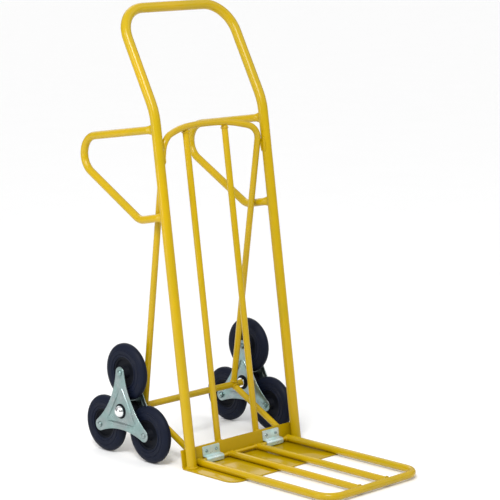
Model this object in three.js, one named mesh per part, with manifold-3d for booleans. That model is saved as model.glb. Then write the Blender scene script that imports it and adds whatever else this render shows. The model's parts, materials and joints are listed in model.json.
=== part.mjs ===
// Stair-climbing sack truck with a folding toe frame.
// Units are millimetres. +Z is up and -Y is the front, the side that the load stands on. The origin is
// on the floor, midway between the uprights, where their centre lines meet the floor.
import * as THREE from 'three';
import { mergeVertices } from 'three/addons/utils/BufferGeometryUtils.js';
import Module from 'manifold-3d';

const wasm = await Module();
wasm.setup();

// ---------- driving dimensions ----------
const WELD_GAP = 0.3; // clearance left between pieces that are welded or rest on each other

// main frame: one bent tube, two uprights and the top handle
const UPRIGHT_SPACING = 400; // between tube centres
const UPRIGHT_DIAMETER = 28;
const UPRIGHT_LEAN = THREE.MathUtils.degToRad(7.2); // backwards from vertical
const UPRIGHT_LENGTH = 973; // from the floor to the bend, along the lean
const HANDLE_LEAN = THREE.MathUtils.degToRad(28);
const HANDLE_LENGTH = 306; // from the bend to the middle of the top bar
const HANDLE_BEND_RADIUS = 160;
const HANDLE_CORNER_RADIUS = 88;

// base plate: a folded steel sheet, toe plate in front and flange up behind the uprights
const SHEET = 4;
const PLATE_WIDTH = 440;
const PLATE_REACH = 184; // in front of the origin
const PLATE_CORNER_RADIUS = 35;
const FLANGE_HEIGHT = 55;
const FOLD_RADIUS = 7; // outside of the fold between toe plate and flange

// thin round tubes of the frame
const BAR_DIAMETER = 18; // load bars, rear loop and braces
const AXLE_TUBE_DIAMETER = 19;
const LOAD_BAR_SPACING = 145;
const LOOP_TOP_HEIGHT = 917; // middle of the cross piece
const LOOP_BOW_BACK = 30; // how far the cross piece bows backwards
const LOOP_BOW_UP = 9;
const LOOP_CORNER_RADIUS = 42;
const LOOP_LEG_SPACING = 339; // where the legs stand on the axle tube

// side handles: a bent tube behind each upright, with flattened ends
const SIDE_TUBE_DIAMETER = 22;
const SIDE_TOP = new THREE.Vector2(118, 919.5); // Y and Z of the upper end, on the upright
const SIDE_CORNER = new THREE.Vector2(540, 862.5); // where the straight runs would meet at the back
const SIDE_KNEE = new THREE.Vector2(192, 665);
const SIDE_BOTTOM = new THREE.Vector2(86, 685);
const SIDE_REAR_RADIUS = 55;
const SIDE_KNEE_RADIUS = 45;
const FLAT_LENGTH = 34; // flattened stretch at each end
const FLAT_THIN = 0.5; // its thickness and height, as shares of the tube's diameter
const FLAT_TALL = 1.25;

// folding toe frame
const HOOP_DIAMETER = 20;
const HOOP_HALF_WIDTH = 171; // to the middle of the side tubes
const HOOP_REACH = 494; // to the middle of the front tube
const HOOP_CORNER_RADIUS = 48;
const TOE_BAR_DIAMETER = 18;
const TOE_BAR_SPACING = 104;
const HINGE_Y = 5.5;
const HINGE_ROD_DIAMETER = 10;
const TOE_REAR_OVERHANG = 2; // how far the side tubes run back past the hinge line

// hinge brackets
const BRACKET_SHEET = 2.5;
const BRACKET_WIDTH = 62;
const BRACKET_SPACING = 228;
const BRACKET_TOP = 50; // height of the upper edge on the flange
const RIVET_SPACING = 36;
const RIVET_HEIGHT = 37;
const RIVET_SHANK = 5;
const RIVET_HEAD = 9;

// wheel stars
const WHEEL_DIAMETER = 160;
const TYRE_WIDTH = 28;
const TYRE_BORE_RADIUS = 42; // where the tyre sits on its rim
const WHEEL_FACETS = 24;
const STAR_RADIUS = 108; // from the axle to each wheel's pin
const AXLE_Y = 227;
const STAR_MIDDLE_X = 232; // middle of the wheels
const STAR_PLATE_GAP = 47; // between the inside faces of the two plates
const STAR_SHEET = 3;
const STAR_TIP_RADIUS = 17.5;
const STAR_WAIST = 53; // from the axle to the middle of a concave side
const AXLE_DIAMETER = 14;
const AXLE_TUBE_LENGTH = 392;
const HUB_DIAMETER = 42;
const PIN_DIAMETER = 10;
const PIN_HEAD_DIAMETER = 16;
const PIN_HEAD_HEIGHT = 5;
const PIN_THREAD_END = 9; // how far the pin stands out past the inner plate
const CAP_DIAMETER = 33;
const CAP_HEIGHT = 13.8;
const CAP_BORE_DEPTH = 9;
const COLLAR_DIAMETER = 28;
const COLLAR_WIDTH = 3;
const BUSH_OVERHANG = 2; // the hub bush stands out past both plates
const NUT_CORNER_RADIUS = 9.2;
const NUT_HEIGHT = 7;

// ---------- worked out ----------
const uprightX = UPRIGHT_SPACING / 2;
const uprightR = UPRIGHT_DIAMETER / 2;
const barR = BAR_DIAMETER / 2;
const wheelR = WHEEL_DIAMETER / 2;
const axleZ = wheelR + STAR_RADIUS / 2;
const hoopR = HOOP_DIAMETER / 2;
const toeZ = SHEET + WELD_GAP + hoopR; // the toe frame lies on the toe plate
const flangeFront = uprightR + WELD_GAP; // behind the uprights' centre plane
const barPlane = flangeFront + SHEET + WELD_GAP + barR;
const outerPlateX = STAR_MIDDLE_X + STAR_PLATE_GAP / 2;
const loopLegX = LOOP_LEG_SPACING / 2;
const loopTopLegX = uprightX - uprightR - barR - 2 * WELD_GAP;
const SIDES = [['left', -1], ['right', 1]];

const v = (x, y, z) => new THREE.Vector3(x, y, z);
const behindUprights = (along, back) => new THREE.Vector2(
  along * Math.sin(UPRIGHT_LEAN) + back * Math.cos(UPRIGHT_LEAN),
  along * Math.cos(UPRIGHT_LEAN) - back * Math.sin(UPRIGHT_LEAN),
);

// ---------- materials ----------
const paint = (color) => new THREE.MeshStandardMaterial({ color, roughness: 0.35, metalness: 0.0 });
const metal = (color, roughness) => new THREE.MeshStandardMaterial({ color, roughness, metalness: 1 });
const MATERIALS = {
  yellow: () => paint(0xd8b812),
  zinc: () => metal(0xb8ccc4, 0.35),
  chrome: () => metal(0xdfe4e6, 0.12),
  rubber: () => new THREE.MeshStandardMaterial({ color: 0x26282e, roughness: 0.75, metalness: 0 }),
  plastic: () => new THREE.MeshStandardMaterial({ color: 0x17181c, roughness: 0.45, metalness: 0 }),
};

// ---------- geometry helpers ----------
// A path made of straight runs and round bends, with stations only where the shape needs them.
class BentPath extends THREE.Curve {
  constructor(stations) {
    super();
    this.points = stations.map((s) => s.point);
    this.tangents = stations.map((s) => s.tangent);
  }

  getSpacedPoints() {
    return this.points.map((p) => p.clone());
  }

  getTangentAt(u, target = new THREE.Vector3()) {
    return target.copy(this.tangents[Math.round(u * (this.tangents.length - 1))]);
  }
}

// Corners are {at, radius}; the first and last have no radius. Extra stations can be added near the ends.
function bentPath(corners, { bendSteps = 6, endStations = [] } = {}) {
  const stations = [];
  const first = corners[0].at;
  const last = corners[corners.length - 1].at;
  const startDir = corners[1].at.clone().sub(first).normalize();
  const endDir = last.clone().sub(corners[corners.length - 2].at).normalize();
  stations.push({ point: first.clone(), tangent: startDir });
  for (const s of endStations) {
    stations.push({ point: first.clone().addScaledVector(startDir, s), tangent: startDir });
  }
  for (let i = 1; i < corners.length - 1; i += 1) {
    stations.push(...bendStations(corners[i - 1].at, corners[i], corners[i + 1].at, bendSteps));
  }
  for (const s of [...endStations].reverse()) {
    stations.push({ point: last.clone().addScaledVector(endDir, -s), tangent: endDir });
  }
  stations.push({ point: last.clone(), tangent: endDir });
  return new BentPath(stations);
}

function bendStations(before, corner, after, steps) {
  const dirIn = corner.at.clone().sub(before).normalize();
  const dirOut = after.clone().sub(corner.at).normalize();
  const turn = dirIn.angleTo(dirOut);
  const setback = corner.radius * Math.tan(turn / 2);
  const axis = dirIn.clone().cross(dirOut).normalize();
  const start = corner.at.clone().addScaledVector(dirIn, -setback);
  const toCentre = axis.clone().cross(dirIn).normalize().multiplyScalar(corner.radius);
  const centre = start.clone().add(toCentre);
  const stations = [];
  for (let i = 0; i <= steps; i += 1) {
    const angle = (turn * i) / steps;
    const point = toCentre.clone().negate().applyAxisAngle(axis, angle).add(centre);
    stations.push({ point, tangent: dirIn.clone().applyAxisAngle(axis, angle) });
  }
  return stations;
}

// A round bar or tube along a path; `half` is half the number of facets round it.
function tube(path, radius, half = 7) {
  const section = new THREE.Shape().absarc(0, 0, radius, 0, 2 * Math.PI);
  const steps = path.points.length - 1;
  return new THREE.ExtrudeGeometry(section, { extrudePath: path, steps, curveSegments: half });
}

const straightTube = (from, to, radius, half) => tube(bentPath([{ at: from }, { at: to }]), radius, half);

// A turned piece with its axis along X. The profile is a list of [x, radius].
function turned(profile, segments = 24) {
  const outline = profile.map(([x, r]) => new THREE.Vector2(r, x));
  if (THREE.ShapeUtils.area(outline) < 0) outline.reverse();
  return new THREE.LatheGeometry(outline, segments).rotateZ(-Math.PI / 2);
}

// A round hole of a flat shape, wide enough between its facets for a shaft of this radius.
function boreHole(x, y, shaftRadius, facets = 16) {
  const radius = (shaftRadius + WELD_GAP) / Math.cos(Math.PI / facets);
  return new THREE.Path(regularPolygon(facets, radius).map((p) => p.add(new THREE.Vector2(x, y))));
}

function regularPolygon(sides, radius) {
  const angles = Array.from({ length: sides }, (_, i) => (i * 2 * Math.PI) / sides);
  return angles.map((a) => new THREE.Vector2(Math.cos(a), Math.sin(a)).multiplyScalar(radius));
}

// A flat shape drawn in Y (across) and Z (up), given its thickness along X and centred on x = 0.
function plateAcrossX(shape, thickness, curveSegments = 6) {
  const g = new THREE.ExtrudeGeometry(shape, { depth: thickness, bevelEnabled: false, curveSegments });
  g.translate(0, 0, -thickness / 2);
  return g.rotateX(Math.PI / 2).rotateZ(Math.PI / 2);
}

function toSolid(geometry) {
  const g = geometry.clone();
  g.deleteAttribute('normal');
  g.deleteAttribute('uv');
  const merged = mergeVertices(g, 1e-4);
  return new wasm.Manifold(new wasm.Mesh({
    numProp: 3,
    vertProperties: new Float32Array(merged.attributes.position.array),
    triVerts: new Uint32Array(merged.index.array),
  }));
}

function toGeometry(solid) {
  const mesh = solid.getMesh();
  const g = new THREE.BufferGeometry();
  g.setAttribute('position', new THREE.BufferAttribute(new Float32Array(mesh.vertProperties), 3));
  g.setIndex(new THREE.BufferAttribute(new Uint32Array(mesh.triVerts), 1));
  g.computeVertexNormals();
  return g;
}

const without = (geometry, ...cutters) => toGeometry(
  cutters.reduce((solid, c) => solid.subtract(toSolid(c)), toSolid(geometry)),
);
const common = (a, b) => toGeometry(toSolid(a).intersect(toSolid(b)));

const group = new THREE.Group();
function add(name, geometry, look, parent = group) {
  const mesh = new THREE.Mesh(geometry, MATERIALS[look]());
  mesh.name = name;
  parent.add(mesh);
  return mesh;
}

// ---------- main frame ----------
function mainFramePath() {
  const bend = behindUprights(UPRIGHT_LENGTH, 0);
  const top = bend.clone().add(new THREE.Vector2(Math.sin(HANDLE_LEAN), Math.cos(HANDLE_LEAN))
    .multiplyScalar(HANDLE_LENGTH));
  const side = (s) => [
    { at: v(s * uprightX, 0, 0) },
    { at: v(s * uprightX, bend.x, bend.y), radius: HANDLE_BEND_RADIUS },
    { at: v(s * uprightX, top.x, top.y), radius: HANDLE_CORNER_RADIUS },
  ];
  return bentPath([...side(-1), ...side(1).reverse()]);
}

// The feet stand on the toe plate. `extra` makes a thicker copy that cuts the pieces welded to it.
function mainFrame(extra = 0) {
  const feetCut = new THREE.BoxGeometry(600, 200, 60).translate(0, 0, SHEET + WELD_GAP - extra - 30);
  return without(tube(mainFramePath(), uprightR + extra, 8), feetCut);
}

// ---------- rear loop: legs from the axle tube, and a cross piece that bows backwards ----------
function loopPath() {
  const corner = behindUprights(LOOP_TOP_HEIGHT - LOOP_BOW_UP - 8, 0);
  const middleY = corner.x + LOOP_BOW_BACK;
  const foot = (s) => ({ at: v(s * loopLegX, AXLE_Y, axleZ) });
  const top = (s) => ({ at: v(s * loopTopLegX, corner.x, corner.y), radius: LOOP_CORNER_RADIUS });
  const shoulder = (s) => ({
    at: v(s * 92, corner.x + LOOP_BOW_BACK * 0.86, LOOP_TOP_HEIGHT - 2),
    radius: 260,
  });
  const middle = { at: v(0, middleY, LOOP_TOP_HEIGHT + 1), radius: 700 };
  return bentPath([foot(-1), top(-1), shoulder(-1), middle, shoulder(1), top(1), foot(1)], { bendSteps: 5 });
}

const axleTube = (extra) => straightTube(
  v(-AXLE_TUBE_LENGTH / 2, AXLE_Y, axleZ),
  v(AXLE_TUBE_LENGTH / 2, AXLE_Y, axleZ),
  AXLE_TUBE_DIAMETER / 2 + extra,
);

// ---------- load bars and braces ----------
function loadBar(side) {
  const x = (side * LOAD_BAR_SPACING) / 2;
  const foot = behindUprights(8, barPlane);
  const top = behindUprights(LOOP_TOP_HEIGHT + 4, barPlane);
  const bar = straightTube(v(x, foot.x, foot.y), v(x, top.x, top.y), barR);
  return without(bar, tube(loopPath(), barR + WELD_GAP));
}

function brace(side) {
  const x = side * loopLegX;
  const foot = behindUprights(26, flangeFront);
  const bar = straightTube(v(x, foot.x, foot.y), v(x, AXLE_Y - 4, axleZ - 4), barR);
  const face = behindUprights(0, flangeFront + SHEET + WELD_GAP - 50);
  const keepOut = new THREE.BoxGeometry(600, 100, 300).rotateX(-UPRIGHT_LEAN).translate(0, face.x, face.y);
  const loopLeg = tube(loopPath(), barR + WELD_GAP);
  return without(bar, axleTube(WELD_GAP), keepOut, loopLeg);
}

// ---------- base plate ----------
function basePlate() {
  const top = behindUprights(FLANGE_HEIGHT, flangeFront);
  const topBack = behindUprights(FLANGE_HEIGHT, flangeFront + SHEET);
  const heel = flangeFront + SHEET; // the fold's outside corner on the floor
  const front = -PLATE_REACH;
  const s = new THREE.Shape();
  s.moveTo(front, 0);
  s.lineTo(heel - FOLD_RADIUS, 0);
  s.quadraticCurveTo(heel, 0, heel + FOLD_RADIUS * Math.sin(UPRIGHT_LEAN), FOLD_RADIUS);
  s.lineTo(topBack.x, topBack.y);
  s.lineTo(top.x, top.y);
  const inner = FOLD_RADIUS - SHEET;
  s.lineTo(heel - SHEET + inner * Math.sin(UPRIGHT_LEAN) + 0.6, SHEET + inner);
  s.quadraticCurveTo(heel - SHEET, SHEET, heel - SHEET - inner, SHEET);
  s.lineTo(front, SHEET);
  const folded = plateAcrossX(s, PLATE_WIDTH, 4);
  const plan = roundedFront(PLATE_WIDTH / 2, PLATE_REACH, 60, PLATE_CORNER_RADIUS);
  const holes = SIDES.flatMap(([, side]) => rivetHoles(side));
  return without(common(folded, plan), mainFrame(WELD_GAP), ...holes);
}

// A tall prism over the plate's outline, with both front corners rounded.
function roundedFront(halfWidth, reach, back, radius) {
  const s = new THREE.Shape();
  s.moveTo(-halfWidth, back);
  s.lineTo(-halfWidth, -reach + radius);
  s.absarc(-halfWidth + radius, -reach + radius, radius, Math.PI, 1.5 * Math.PI, false);
  s.absarc(halfWidth - radius, -reach + radius, radius, 1.5 * Math.PI, 2 * Math.PI, false);
  s.lineTo(halfWidth, back);
  const g = new THREE.ExtrudeGeometry(s, { depth: 200, bevelEnabled: false, curveSegments: 6 });
  return g.translate(0, 0, -50);
}

// ---------- side handles ----------
function sideHandle(side) {
  const at = (p) => v(side * uprightX, p.x, p.y);
  const path = bentPath([
    { at: at(SIDE_TOP) },
    { at: at(SIDE_CORNER), radius: SIDE_REAR_RADIUS },
    { at: at(SIDE_KNEE), radius: SIDE_KNEE_RADIUS },
    { at: at(SIDE_BOTTOM) },
  ], { bendSteps: 7, endStations: [FLAT_LENGTH * 0.6, FLAT_LENGTH] });
  const g = tube(path, SIDE_TUBE_DIAMETER / 2, 6);
  flattenEnd(g, SIDE_TOP, SIDE_CORNER, side * uprightX);
  flattenEnd(g, SIDE_BOTTOM, SIDE_KNEE, side * uprightX);
  return without(g, mainFrame(WELD_GAP));
}

// Squeezes the tube's end flat: thin across X and taller in its own plane.
function flattenEnd(geometry, end, towards, middleX) {
  const along = towards.clone().sub(end).normalize();
  const across = new THREE.Vector2(-along.y, along.x);
  const pos = geometry.attributes.position;
  for (let i = 0; i < pos.count; i += 1) {
    const rel = new THREE.Vector2(pos.getY(i), pos.getZ(i)).sub(end);
    const distance = rel.dot(along);
    const height = rel.dot(across);
    if (distance < FLAT_LENGTH - 1 && Math.abs(height) < SIDE_TUBE_DIAMETER) {
      const end01 = THREE.MathUtils.clamp((FLAT_LENGTH - distance) / (FLAT_LENGTH * 0.4), 0, 1);
      const thin = THREE.MathUtils.lerp(1, FLAT_THIN, end01);
      const tall = THREE.MathUtils.lerp(1, FLAT_TALL, end01);
      const moved = end.clone().addScaledVector(along, distance).addScaledVector(across, height * tall);
      pos.setXYZ(i, middleX + (pos.getX(i) - middleX) * thin, moved.x, moved.y);
    }
  }
}

// ---------- folding toe frame, drawn about its hinge line ----------
function hoopPath() {
  const corner = (s) => ({ at: v(s * HOOP_HALF_WIDTH, -HOOP_REACH - HINGE_Y, 0), radius: HOOP_CORNER_RADIUS });
  const end = (s) => ({ at: v(s * HOOP_HALF_WIDTH, TOE_REAR_OVERHANG, 0) });
  return bentPath([end(-1), corner(-1), corner(1), end(1)], { bendSteps: 7 });
}

function hingeRod() {
  const half = HOOP_HALF_WIDTH + 2;
  const rod = straightTube(v(-half, 0, 0), v(half, 0, 0), HINGE_ROD_DIAMETER / 2, 6);
  return without(rod, tube(hoopPath(), hoopR + WELD_GAP));
}

function toeBar(side) {
  const x = (side * TOE_BAR_SPACING) / 2;
  const bar = straightTube(v(x, 4, 0), v(x, -HOOP_REACH - HINGE_Y, 0), TOE_BAR_DIAMETER / 2, 6);
  const rod = straightTube(v(-300, 0, 0), v(300, 0, 0), HINGE_ROD_DIAMETER / 2 + WELD_GAP, 6);
  const behindRod = new THREE.BoxGeometry(60, 40, 40).translate(x, 20, 0);
  return without(bar, tube(hoopPath(), hoopR + WELD_GAP), rod, behindRod);
}

// ---------- hinge brackets and rivets ----------
// A strip folded to a profile of points in Y and Z, of even thickness on its left hand side.
function foldedStrip(points, thickness, width) {
  const offsets = points.map((p, i) => {
    const before = points[Math.max(i - 1, 0)];
    const after = points[Math.min(i + 1, points.length - 1)];
    const a = (i > 0 ? p.clone().sub(before) : after.clone().sub(p)).normalize();
    const b = (i < points.length - 1 ? after.clone().sub(p) : a.clone()).normalize();
    const normal = new THREE.Vector2(-a.y - b.y, a.x + b.x).normalize();
    const stretch = thickness / Math.max(normal.dot(new THREE.Vector2(-a.y, a.x)), 0.3);
    return p.clone().addScaledVector(normal, stretch);
  });
  const shape = new THREE.Shape([...points, ...offsets.reverse()]);
  return plateAcrossX(shape, width);
}

function bracket(side) {
  const rodTop = toeZ + HINGE_ROD_DIAMETER / 2 + 0.8;
  const rodFront = HINGE_Y - HINGE_ROD_DIAMETER / 2 - 0.8;
  const face = flangeFront - WELD_GAP;
  const upper = behindUprights(BRACKET_TOP, face);
  const foldIn = behindUprights(rodTop + 3, face);
  const profile = [
    upper,
    foldIn,
    new THREE.Vector2(HINGE_Y + 2, rodTop),
    new THREE.Vector2(rodFront + 2, rodTop),
    new THREE.Vector2(rodFront, rodTop - 2),
    new THREE.Vector2(rodFront, SHEET + 3),
  ];
  const strip = foldedStrip(profile.reverse(), BRACKET_SHEET, BRACKET_WIDTH);
  strip.translate((side * BRACKET_SPACING) / 2, 0, 0);
  return without(strip, ...rivetHoles(side));
}

const rivetPlaces = (side) => [-1, 1].map((end) => {
  const at = behindUprights(RIVET_HEIGHT, flangeFront);
  return v((side * BRACKET_SPACING + end * RIVET_SPACING) / 2, at.x, at.y);
});

// Turns a piece made along X so that it points squarely out of the flange, and moves it into place.
const placeOnFlange = (geometry, at) => geometry.rotateZ(Math.PI / 2).rotateX(-UPRIGHT_LEAN)
  .translate(at.x, at.y, at.z);

const rivetHoles = (side) => rivetPlaces(side).map((at) => placeOnFlange(
  turned([[-20, 0], [-20, RIVET_SHANK / 2 + WELD_GAP], [20, RIVET_SHANK / 2 + WELD_GAP], [20, 0]], 10),
  at,
));

function rivet(at) {
  const front = -BRACKET_SHEET - 2 * WELD_GAP;
  const back = SHEET + WELD_GAP;
  const head = RIVET_HEAD / 2;
  const shank = RIVET_SHANK / 2;
  return placeOnFlange(turned([
    [front - 2.4, 0], [front - 2.2, head * 0.5], [front - 1, head * 0.9], [front, head],
    [front, shank], [back, shank], [back, head * 0.8], [back + 1.6, head * 0.7], [back + 1.8, 0],
  ], 8), at);
}

// ---------- wheel stars, drawn about the axle with the wheels' middle at x = 0 ----------
const pinAngles = [0, 1, 2].map((i) => Math.PI / 2 + (i * 2 * Math.PI) / 3);
const pinPlace = (angle) => new THREE.Vector2(Math.cos(angle), Math.sin(angle)).multiplyScalar(STAR_RADIUS);

// Three round tips joined by concave arcs that run smoothly into them.
function starPlate() {
  const along = STAR_RADIUS * Math.cos(Math.PI / 3); // from the axle to the line between two pins
  const across = STAR_RADIUS * Math.sin(Math.PI / 3);
  const dip = STAR_WAIST - along;
  const arcRadius = (dip ** 2 + across ** 2 - STAR_TIP_RADIUS ** 2) / (2 * (STAR_TIP_RADIUS - dip));
  const halfArc = Math.asin(across / (arcRadius + STAR_TIP_RADIUS));
  const tipTurn = Math.PI / 3 + halfArc; // half of the tip's round
  const s = new THREE.Shape();
  pinAngles.forEach((angle) => {
    const tip = pinPlace(angle);
    s.absarc(tip.x, tip.y, STAR_TIP_RADIUS, angle - tipTurn, angle + tipTurn, false);
    const waistAngle = angle + Math.PI / 3;
    const centre = new THREE.Vector2(Math.cos(waistAngle), Math.sin(waistAngle))
      .multiplyScalar(STAR_WAIST + arcRadius);
    const middle = waistAngle + Math.PI;
    s.absarc(centre.x, centre.y, arcRadius, middle + halfArc, middle - halfArc, true);
  });
  s.holes.push(boreHole(0, 0, HUB_DIAMETER / 2));
  s.holes.push(...pinAngles.map(pinPlace).map((at) => boreHole(at.x, at.y, PIN_DIAMETER / 2)));
  return plateAcrossX(s, STAR_SHEET, 4);
}

function hubBush() {
  const bore = AXLE_DIAMETER / 2 + WELD_GAP;
  const reach = STAR_PLATE_GAP / 2 + STAR_SHEET + BUSH_OVERHANG;
  const outside = HUB_DIAMETER / 2;
  return turned([[-reach, bore], [-reach, outside], [reach, outside], [reach, bore], [-reach, bore]], 16);
}

function tyre() {
  const h = TYRE_WIDTH / 2;
  const half = [[h - 3, TYRE_BORE_RADIUS], [h, TYRE_BORE_RADIUS + 6], [h, wheelR - 14], [h - 3.5, wheelR - 5.5],
    [h - 9, wheelR - 1]];
  const mirrored = half.map(([x, r]) => [-x, r]).reverse();
  return turned([...half, [0, wheelR], ...mirrored, half[0]], WHEEL_FACETS);
}

function rim() {
  const seat = TYRE_BORE_RADIUS - WELD_GAP;
  const h = TYRE_WIDTH / 2 - 3.5;
  const hub = STAR_PLATE_GAP / 2 - 0.6;
  const bore = PIN_DIAMETER / 2 + WELD_GAP;
  const half = [[hub, bore], [hub, 14], [4, 17], [4, seat - 7], [h, seat - 4], [h, seat]];
  const mirrored = half.map(([x, r]) => [-x, r]);
  return turned([...mirrored, ...half.slice().reverse(), mirrored[0]], WHEEL_FACETS);
}

function pinBolt() {
  const out = STAR_PLATE_GAP / 2 + STAR_SHEET + WELD_GAP;
  const shank = PIN_DIAMETER / 2;
  const tail = -out - PIN_THREAD_END;
  const head = PIN_HEAD_DIAMETER / 2;
  const top = out + PIN_HEAD_HEIGHT;
  return turned([
    [tail, 0], [tail, shank], [out, shank], [out, head], [top - 3.5, head], [top - 1, head * 0.75], [top, head * 0.3],
    [top, 0],
  ], 12);
}

function pinNut() {
  const near = STAR_PLATE_GAP / 2 + STAR_SHEET + WELD_GAP;
  const hexagon = new THREE.Shape(regularPolygon(6, NUT_CORNER_RADIUS));
  hexagon.holes.push(boreHole(0, 0, PIN_DIAMETER / 2));
  return plateAcrossX(hexagon, NUT_HEIGHT).translate(-near - NUT_HEIGHT / 2, 0, 0);
}

function addStar(label, side) {
  const star = new THREE.Group();
  star.position.set(side * STAR_MIDDLE_X, AXLE_Y, axleZ);
  star.rotation.z = side > 0 ? 0 : Math.PI; // outer side away from the frame on both sides
  group.add(star);
  const plateMiddle = (STAR_PLATE_GAP + STAR_SHEET) / 2;
  add(`star_plate_outer_${label}`, starPlate(), 'zinc', star).position.x = plateMiddle;
  add(`star_plate_inner_${label}`, starPlate(), 'zinc', star).position.x = -plateMiddle;
  add(`star_hub_bush_${label}`, hubBush(), 'plastic', star);
  const names = ['top', side > 0 ? 'front' : 'rear', side > 0 ? 'rear' : 'front'];
  pinAngles.forEach((angle, i) => {
    const wheel = new THREE.Group();
    const at = pinPlace(angle);
    wheel.position.set(0, at.x, at.y);
    star.add(wheel);
    const suffix = `${names[i]}_${label}`;
    add(`tyre_${suffix}`, tyre(), 'rubber', wheel);
    add(`wheel_rim_${suffix}`, rim(), 'plastic', wheel);
    add(`wheel_bolt_${suffix}`, pinBolt(), 'zinc', wheel);
    add(`wheel_nut_${suffix}`, pinNut(), 'zinc', wheel);
  });
}

// ---------- axle rod with its collars and caps ----------
const capStart = outerPlateX + STAR_SHEET + BUSH_OVERHANG + WELD_GAP;

function axleRod() {
  const end = capStart + CAP_BORE_DEPTH - 1;
  return straightTube(v(-end, AXLE_Y, axleZ), v(end, AXLE_Y, axleZ), AXLE_DIAMETER / 2, 8);
}

function axleCap() {
  const bore = AXLE_DIAMETER / 2 + WELD_GAP;
  const r = CAP_DIAMETER / 2;
  const top = CAP_HEIGHT;
  return turned([
    [CAP_BORE_DEPTH, 0], [CAP_BORE_DEPTH, bore], [0, bore], [0, r], [top * 0.22, r], [top * 0.5, r * 0.9],
    [top * 0.8, r * 0.64], [top * 0.95, r * 0.3], [top, 0],
  ], 16);
}

function axleCollar() {
  const bore = AXLE_DIAMETER / 2 + WELD_GAP;
  const r = COLLAR_DIAMETER / 2;
  return turned([[0, bore], [0, r], [COLLAR_WIDTH, r], [COLLAR_WIDTH, bore], [0, bore]], 16);
}

// ---------- assembly ----------
add('main_frame_tube', mainFrame(), 'yellow');
add('rear_loop_tube', without(tube(loopPath(), barR), axleTube(WELD_GAP), mainFrame(WELD_GAP)), 'yellow');
add('axle_tube', without(axleTube(0), straightTube(
  v(-300, AXLE_Y, axleZ),
  v(300, AXLE_Y, axleZ),
  AXLE_DIAMETER / 2 + WELD_GAP,
  8,
)), 'yellow');
add('axle_rod', axleRod(), 'chrome');
add('base_plate', basePlate(), 'yellow');
for (const [label, side] of SIDES) {
  add(`load_bar_${label}`, loadBar(side), 'yellow');
  add(`brace_${label}`, brace(side), 'yellow');
  add(`side_handle_${label}`, sideHandle(side), 'yellow');
  add(`hinge_bracket_${label}`, bracket(side), 'zinc');
  rivetPlaces(side).forEach((at, i) => add(`bracket_rivet_${label}_${i + 1}`, rivet(at), 'zinc'));
}

const toe = new THREE.Group();
toe.position.set(0, HINGE_Y, toeZ);
group.add(toe);
add('toe_hoop_tube', tube(hoopPath(), hoopR), 'yellow', toe);
add('toe_hinge_rod', hingeRod(), 'yellow', toe);
for (const [label, side] of SIDES) add(`toe_bar_${label}`, toeBar(side), 'yellow', toe);

for (const [label, side] of SIDES) {
  addStar(label, side);
  const cap = add(`axle_cap_${label}`, axleCap(), 'chrome');
  cap.position.set(side * capStart, AXLE_Y, axleZ);
  cap.rotation.z = side > 0 ? 0 : Math.PI;
  const collar = add(`axle_collar_${label}`, axleCollar(), 'chrome');
  collar.position.set(side * (AXLE_TUBE_LENGTH / 2 + WELD_GAP), AXLE_Y, axleZ);
  collar.rotation.z = side > 0 ? 0 : Math.PI;
}

export default group;
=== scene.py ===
"""Stair-climbing sack truck with a folding toe frame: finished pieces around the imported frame."""
import json
import math

import bmesh
import bpy
from bpy.props import FloatProperty, FloatVectorProperty, IntProperty, PointerProperty
from mathutils import Euler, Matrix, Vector


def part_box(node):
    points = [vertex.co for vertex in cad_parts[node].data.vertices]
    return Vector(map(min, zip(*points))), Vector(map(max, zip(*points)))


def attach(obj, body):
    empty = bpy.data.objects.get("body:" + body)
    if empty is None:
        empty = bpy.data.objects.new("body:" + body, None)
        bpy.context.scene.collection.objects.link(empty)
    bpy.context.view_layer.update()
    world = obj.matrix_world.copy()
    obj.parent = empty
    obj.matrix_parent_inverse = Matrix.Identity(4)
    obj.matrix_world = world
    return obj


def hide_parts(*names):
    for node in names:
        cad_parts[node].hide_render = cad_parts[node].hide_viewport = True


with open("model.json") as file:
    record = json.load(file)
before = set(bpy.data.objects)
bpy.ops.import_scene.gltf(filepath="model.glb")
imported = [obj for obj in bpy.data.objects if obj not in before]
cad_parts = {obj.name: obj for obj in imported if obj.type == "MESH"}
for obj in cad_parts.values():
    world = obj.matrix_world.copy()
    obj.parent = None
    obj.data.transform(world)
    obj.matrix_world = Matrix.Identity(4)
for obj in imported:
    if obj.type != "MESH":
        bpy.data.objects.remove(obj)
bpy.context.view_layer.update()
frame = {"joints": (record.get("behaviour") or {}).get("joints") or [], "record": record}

bl_info = {
    "name": "Stair-climbing sack truck",
    "version": (1, 0, 0),
    "blender": (4, 5, 0),
    "location": "View3D > Sidebar > Sack truck",
    "description": "Models and finishes the pieces of a stair-climbing sack truck",
    "category": "Add Mesh",
}

MM = 0.001
SIDES = (("left", -1), ("right", 1))
WHEELS = (("top", 90), ("rear", -30), ("front", 210))  # degrees up from straight back

JOINTS = {joint["name"]: joint for joint in frame["joints"]}

# ---------- where things are, in metres ----------
UPRIGHT_LEAN = math.radians(7.2)
UPRIGHT_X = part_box("main_frame_tube")[1][0] - 14 * MM
UPRIGHT_SIDES = 44
WELD_SINK = 1.5 * MM  # how far a tube's end reaches into the weld or the plate under it
BEND_ALONG = 973 * MM
HANDLE_LEAN = math.radians(28)
HANDLE_LENGTH = 306 * MM
HANDLE_BEND = 160 * MM
HANDLE_CORNER = 88 * MM

SHEET = 4 * MM
PLATE_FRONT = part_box("base_plate")[0][1]
PLATE_WIDTH = 2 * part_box("base_plate")[1][0]
PLATE_CORNER = 35 * MM
FLANGE_ALONG = 55 * MM
FLANGE_FRONT = 14.3 * MM  # behind the uprights' centre plane
FOLD = 7 * MM
FLANGE_BACK = FLANGE_FRONT + SHEET
BAR_BACK = FLANGE_BACK + 9.3 * MM

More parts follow.
